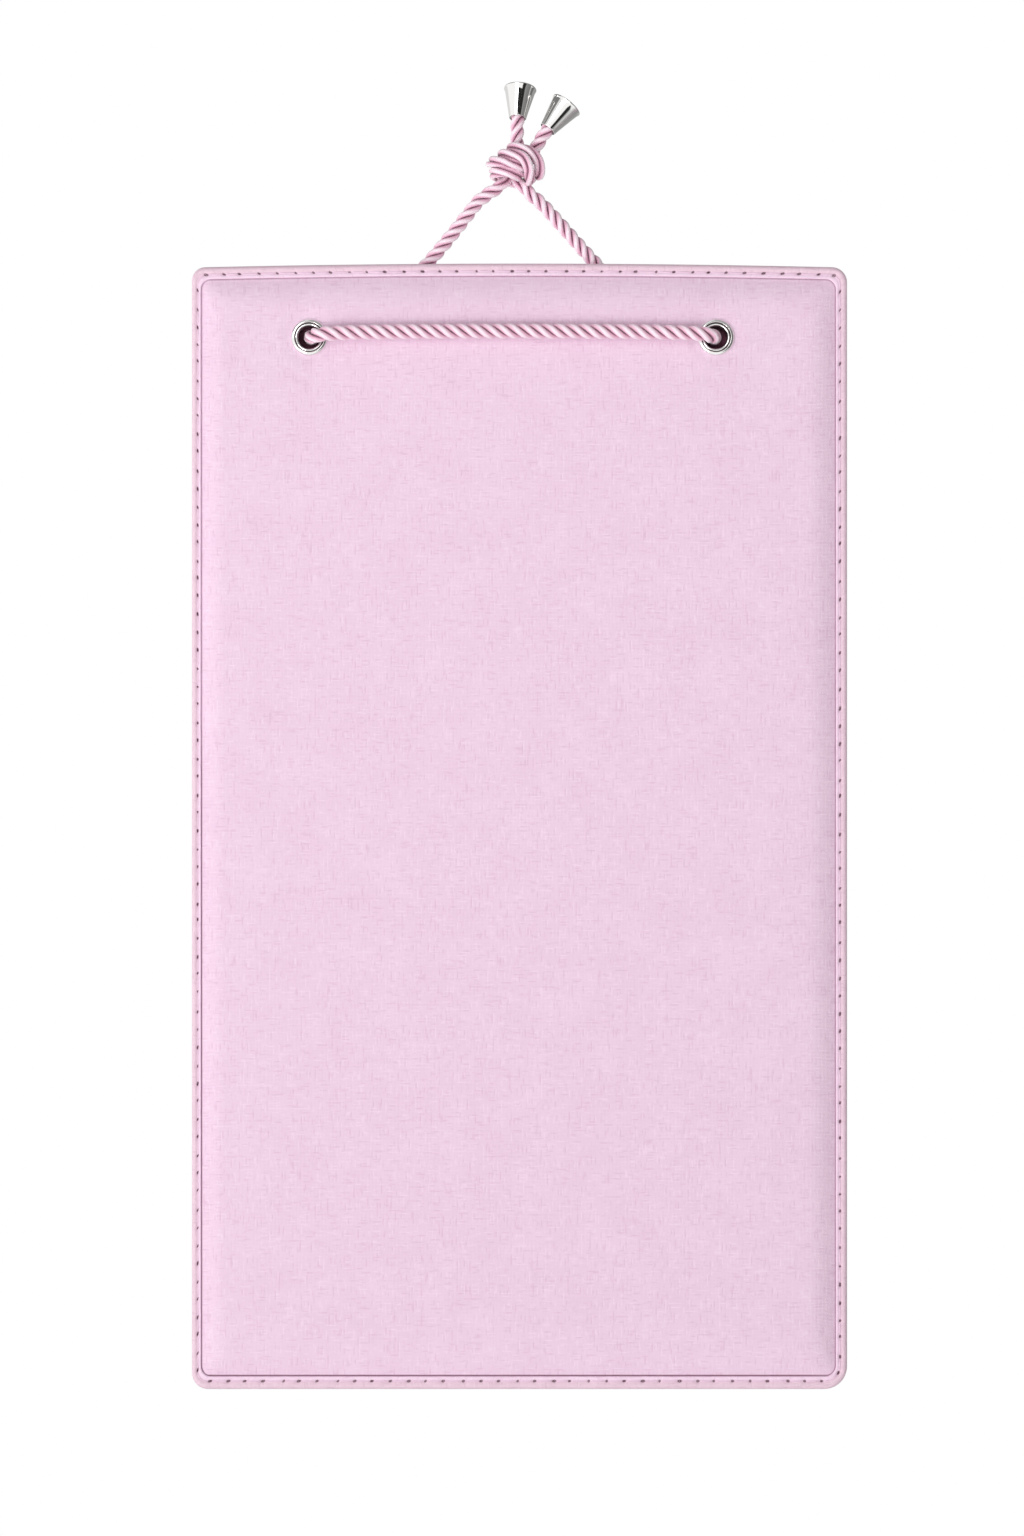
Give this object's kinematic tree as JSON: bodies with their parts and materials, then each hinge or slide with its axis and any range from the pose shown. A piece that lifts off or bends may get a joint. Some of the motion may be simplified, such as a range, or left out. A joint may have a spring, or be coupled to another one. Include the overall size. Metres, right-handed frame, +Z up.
{
  "type": "hanging pin display board",
  "caption": "Upright padded fabric board with a bound edge and eyelets, hung by a twisted cord that crosses its front and is knotted above it with capped ends.",
  "frame": {"origin": "the fork of the cord under the knot, where the loop lies on its hook", "axes": "+Z up along the board's height, +X along its width to the right as seen from the front, +Y from the front to the back: the padded front faces -Y"},
  "size_m": [0.2, 0.0223, 0.3992],
  "materials": {
    "covering_fabric": "matte",
    "binding_fabric": "matte",
    "padding_foam": "matte",
    "fibre_board": "matte",
    "nickel": "gloss",
    "satin_cord": "satin"
  },
  "bodies": {
    "hanging_loop": {"cord_left_leg": "satin_cord", "cord_right_leg": "satin_cord", "cord_knot_left": "satin_cord", "cord_knot_right": "satin_cord"},
    "board": {"back_cover": "covering_fabric", "backing_board": "fibre_board", "foam_pad": "padding_foam", "front_cover": "covering_fabric", "edge_binding": "binding_fabric", "eyelet_left": "nickel", "eyelet_right": "nickel", "eyelet_washer_left": "nickel", "eyelet_washer_right": "nickel", "cord_front_span": "satin_cord"},
    "tail_left": {"cord_left_tail": "satin_cord", "cord_cap_left": "nickel", "cord_end_left": "satin_cord"},
    "tail_right": {"cord_right_tail": "satin_cord", "cord_cap_right": "nickel", "cord_end_right": "satin_cord"}
  },
  "joints": [
    {"name": "board_swing", "type": "hinge", "parent": "hanging_loop", "child": "board", "pos_m": [0, 0, -0.0467], "axis": [1, 0, 0], "range_deg": [0, 170], "deforming": ["cord_left_leg", "cord_right_leg"]},
    {"name": "tail_left_flex", "type": "hinge", "parent": "hanging_loop", "child": "tail_left", "pos_m": [0.0014, 0.0008, 0.0151], "axis": [1, 0, 0], "range_deg": [-30, 30], "stiffness_Nm_per_rad": 0.003, "deforming": ["cord_left_tail"]},
    {"name": "tail_right_flex", "type": "hinge", "parent": "hanging_loop", "child": "tail_right", "pos_m": [0.0079, 0.0002, 0.0137], "axis": [1, 0, 0], "range_deg": [-30, 30], "stiffness_Nm_per_rad": 0.003, "deforming": ["cord_right_tail"]}
  ]
}
